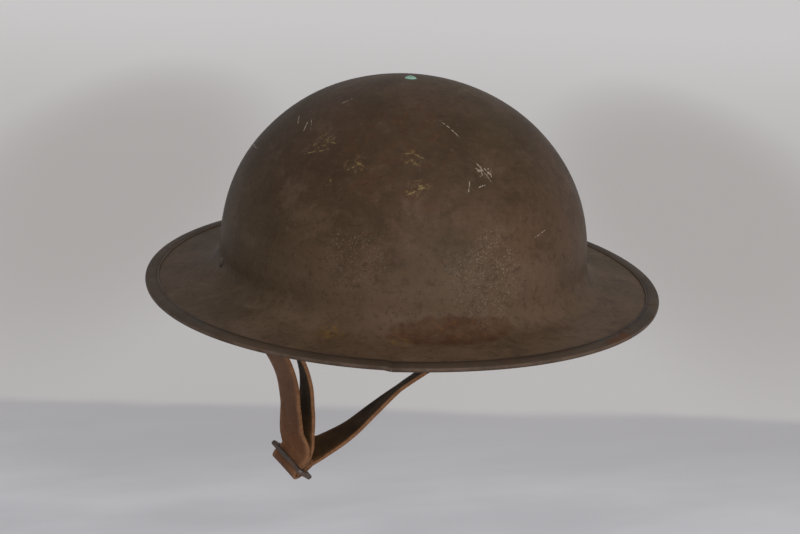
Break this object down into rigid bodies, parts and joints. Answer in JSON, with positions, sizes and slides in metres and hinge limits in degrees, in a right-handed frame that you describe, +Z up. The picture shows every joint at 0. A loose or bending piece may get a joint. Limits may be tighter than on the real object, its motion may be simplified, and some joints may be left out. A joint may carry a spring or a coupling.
{
  "type": "brimmed steel helmet",
  "caption": "Wide-brimmed pressed steel helmet with a netted liner, wire strap loops and a leather chin strap with a sliding buckle.",
  "frame": {"origin": "top of the wearer's head, where the net rests on it, 85 mm above the rim plane", "axes": "+Z up, -Y the wearer's front, +X to the wearer's left hand side; the strap loops lie on the X axis"},
  "size_m": [0.29, 0.305, 0.2367],
  "materials": {
    "shell_paint": "worn matt olive brown",
    "rim_paint": "worn matt olive brown with rust",
    "copper": "green-grey tarnished copper",
    "fitting_steel": "dark rusted steel",
    "strap_leather": "worn brown leather",
    "oilcloth": "black oilcloth",
    "felt": "grey felt",
    "twine": "natural cotton twine",
    "buffer_rubber": "aged black rubber"
  },
  "bodies": {
    "helmet": {"shell": "shell_paint", "rim_bead": "rim_paint", "crown_rivet": "copper", "crown_washer": "copper", "felt_pad": "felt", "long_crown_strip": "oilcloth", "short_crown_strip": "oilcloth", "head_band": "oilcloth", "band_binding": "oilcloth", "rubber_buffers": "buffer_rubber", "crown_net": "twine", "net_lace": "twine", "left_rivet": "fitting_steel", "right_rivet": "fitting_steel"},
    "lugs": {"left_lug": "fitting_steel", "right_lug": "fitting_steel"},
    "left_loop": {"left_bail": "fitting_steel"},
    "right_loop": {"right_bail": "fitting_steel"},
    "strap": {"chin_strap": "strap_leather", "slide_buckle": "fitting_steel"}
  },
  "joints": [
    {"name": "strap_swing", "type": "hinge", "parent": "helmet", "child": "lugs", "pos_m": [0, 0, -0.072], "axis": [1, 0, 0], "range_deg": [-40, 40]},
    {"name": "left_loop_sway", "type": "hinge", "parent": "lugs", "child": "left_loop", "pos_m": [-0.09853, 0, -0.0805], "axis": [0, 1, 0], "range_deg": [-10, 10]},
    {"name": "right_loop_sway", "type": "hinge", "parent": "lugs", "child": "right_loop", "pos_m": [0.09853, 0, -0.0805], "axis": [0, 1, 0], "range_deg": [-10, 10]},
    {"name": "strap_level", "type": "hinge", "parent": "left_loop", "child": "strap", "pos_m": [-0.09853, 0, -0.0945], "axis": [0, 1, 0], "range_deg": [-10, 10]}
  ],
  "couplings": [
    {"joint": "right_loop_sway", "follows": "left_loop_sway", "ratio": 1},
    {"joint": "strap_level", "follows": "left_loop_sway", "ratio": -1}
  ]
}
